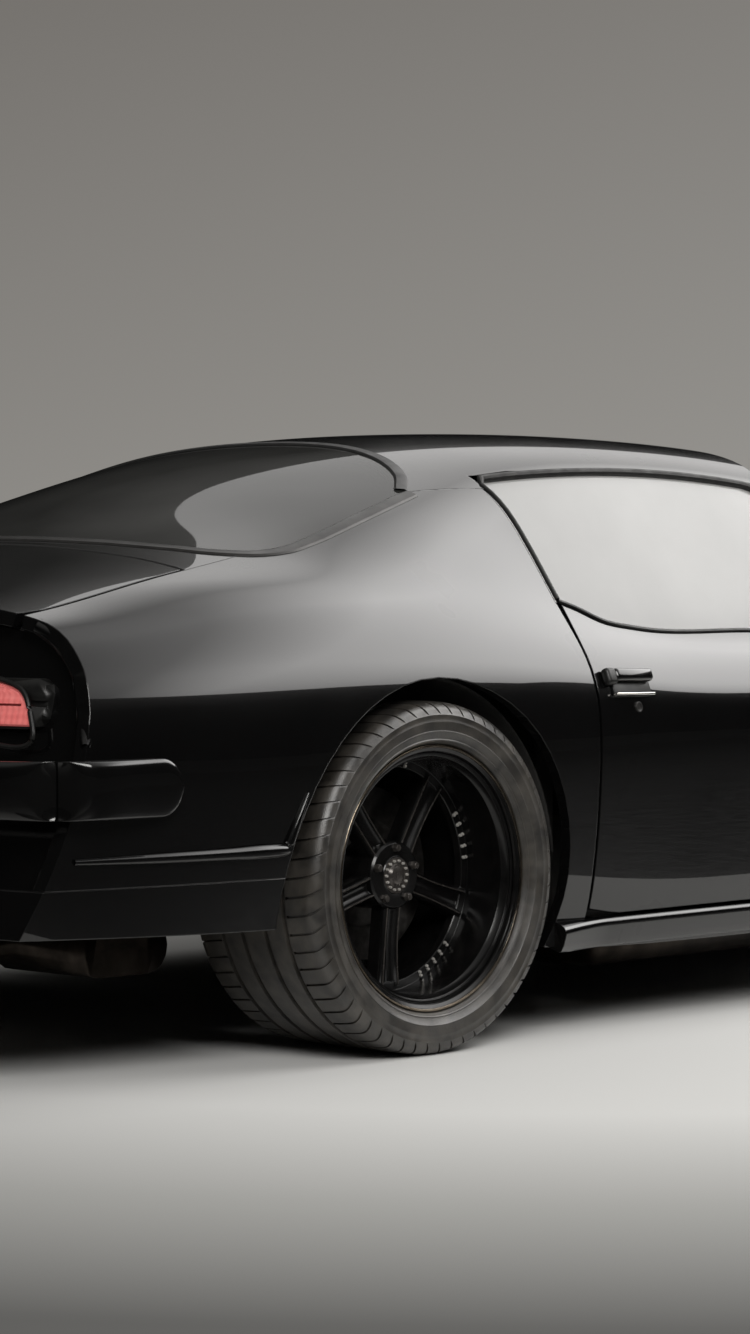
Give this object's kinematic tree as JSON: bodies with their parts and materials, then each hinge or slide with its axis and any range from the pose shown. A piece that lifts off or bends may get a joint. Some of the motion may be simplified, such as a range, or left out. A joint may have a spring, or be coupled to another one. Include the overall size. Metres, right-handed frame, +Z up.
{
  "type": "muscle car",
  "caption": "Low black fastback muscle car with hinged doors, hood and deck lid, deep-dish spoked wheels that roll and steered front wheels.",
  "frame": {"origin": "on the ground under the middle of the car", "axes": "+X forward along the car, +Y to its left, +Z up"},
  "size_m": [4.7781, 1.908, 1.1983],
  "materials": {
    "paint": "gloss",
    "glass": "gloss",
    "dark_plastic": "satin",
    "lamp_glass": "gloss",
    "red_lamp": "gloss",
    "dark_trim": "gloss",
    "underbody": "satin",
    "engine_metal": "satin",
    "raw_steel": "satin",
    "exhaust_steel": "satin",
    "chassis_black": "satin",
    "cast": "satin",
    "tyre": "matte",
    "black_alloy": "gloss",
    "upholstery": "satin",
    "dash_plastic": "satin",
    "steering_grip": "satin"
  },
  "bodies": {
    "body": {"roof": "paint", "quarters": "paint", "rear_panels": "paint", "rear_bumper": "paint", "rear_valance": "paint", "front_valance": "paint", "rockers": "paint", "fenders": "paint", "nose": "paint", "grille": "dark_plastic", "headlamps": "lamp_glass", "tail_lamps": "red_lamp", "windshield": "glass", "pillars": "paint", "rear_window": "glass", "door_posts": "underbody", "cowl": "paint", "floor_pan": "underbody", "inner_panels": "underbody", "aprons": "underbody", "engine": "engine_metal", "drive_shaft": "raw_steel", "exhaust": "exhaust_steel", "fuel_tank": "raw_steel", "rear_axle": "chassis_black", "front_subframe": "chassis_black", "seats": "upholstery", "dashboard": "dash_plastic"},
    "door_left": {"door_left": "paint", "door_glass_left": "glass", "door_trim_left": "dark_trim"},
    "door_right": {"door_right": "paint", "door_glass_right": "glass", "door_trim_right": "dark_trim"},
    "hood": {"hood": "paint"},
    "deck_lid": {"deck_lid": "paint"},
    "steering_wheel": {"steering_wheel": "steering_grip"},
    "knuckle_left": {"knuckle_left": "cast"},
    "knuckle_right": {"knuckle_right": "cast"},
    "wheel_front_left": {"tyre_front_left": "tyre", "rim_front_left": "black_alloy"},
    "wheel_front_right": {"tyre_front_right": "tyre", "rim_front_right": "black_alloy"},
    "wheel_rear_left": {"tyre_rear_left": "tyre", "rim_rear_left": "black_alloy"},
    "wheel_rear_right": {"tyre_rear_right": "tyre", "rim_rear_right": "black_alloy"}
  },
  "joints": [
    {"name": "door_left_hinge", "type": "hinge", "parent": "body", "child": "door_left", "pos_m": [0.387, 0.888, 0.515], "axis": [0, 0, -1], "range_deg": [0, 65]},
    {"name": "door_right_hinge", "type": "hinge", "parent": "body", "child": "door_right", "pos_m": [0.387, -0.888, 0.515], "axis": [0, 0, 1], "range_deg": [0, 65]},
    {"name": "hood_hinge", "type": "hinge", "parent": "body", "child": "hood", "pos_m": [0.556, 0, 0.795], "axis": [0, -1, 0], "range_deg": [0, 50]},
    {"name": "deck_lid_hinge", "type": "hinge", "parent": "body", "child": "deck_lid", "pos_m": [-1.68, 0, 0.89138], "axis": [0, 1, 0], "range_deg": [0, 55]},
    {"name": "steer_left", "type": "hinge", "parent": "body", "child": "knuckle_left", "pos_m": [1.35, 0.7, 0.325], "axis": [0, 0, 1], "range_deg": [-30, 30]},
    {"name": "steer_right", "type": "hinge", "parent": "body", "child": "knuckle_right", "pos_m": [1.35, -0.7, 0.325], "axis": [0, 0, 1], "range_deg": [-30, 30]},
    {"name": "steering_wheel_turn", "type": "hinge", "parent": "body", "child": "steering_wheel", "pos_m": [0.05, 0.442, 0.735], "axis": [-0.9135, 0, 0.4067], "range_deg": [-455, 455]},
    {"name": "roll_front_left", "type": "hinge", "parent": "knuckle_left", "child": "wheel_front_left", "pos_m": [1.35, 0.766, 0.325], "axis": [0, 1, 0], "continuous": true},
    {"name": "roll_front_right", "type": "hinge", "parent": "knuckle_right", "child": "wheel_front_right", "pos_m": [1.35, -0.766, 0.325], "axis": [0, 1, 0], "continuous": true},
    {"name": "roll_rear_left", "type": "hinge", "parent": "body", "child": "wheel_rear_left", "pos_m": [-1.39, 0.752, 0.33], "axis": [0, 1, 0], "continuous": true},
    {"name": "roll_rear_right", "type": "hinge", "parent": "body", "child": "wheel_rear_right", "pos_m": [-1.39, -0.752, 0.33], "axis": [0, 1, 0], "continuous": true}
  ],
  "couplings": [
    {"joint": "steer_right", "follows": "steer_left", "ratio": 1},
    {"joint": "steering_wheel_turn", "follows": "steer_left", "ratio": 15}
  ]
}
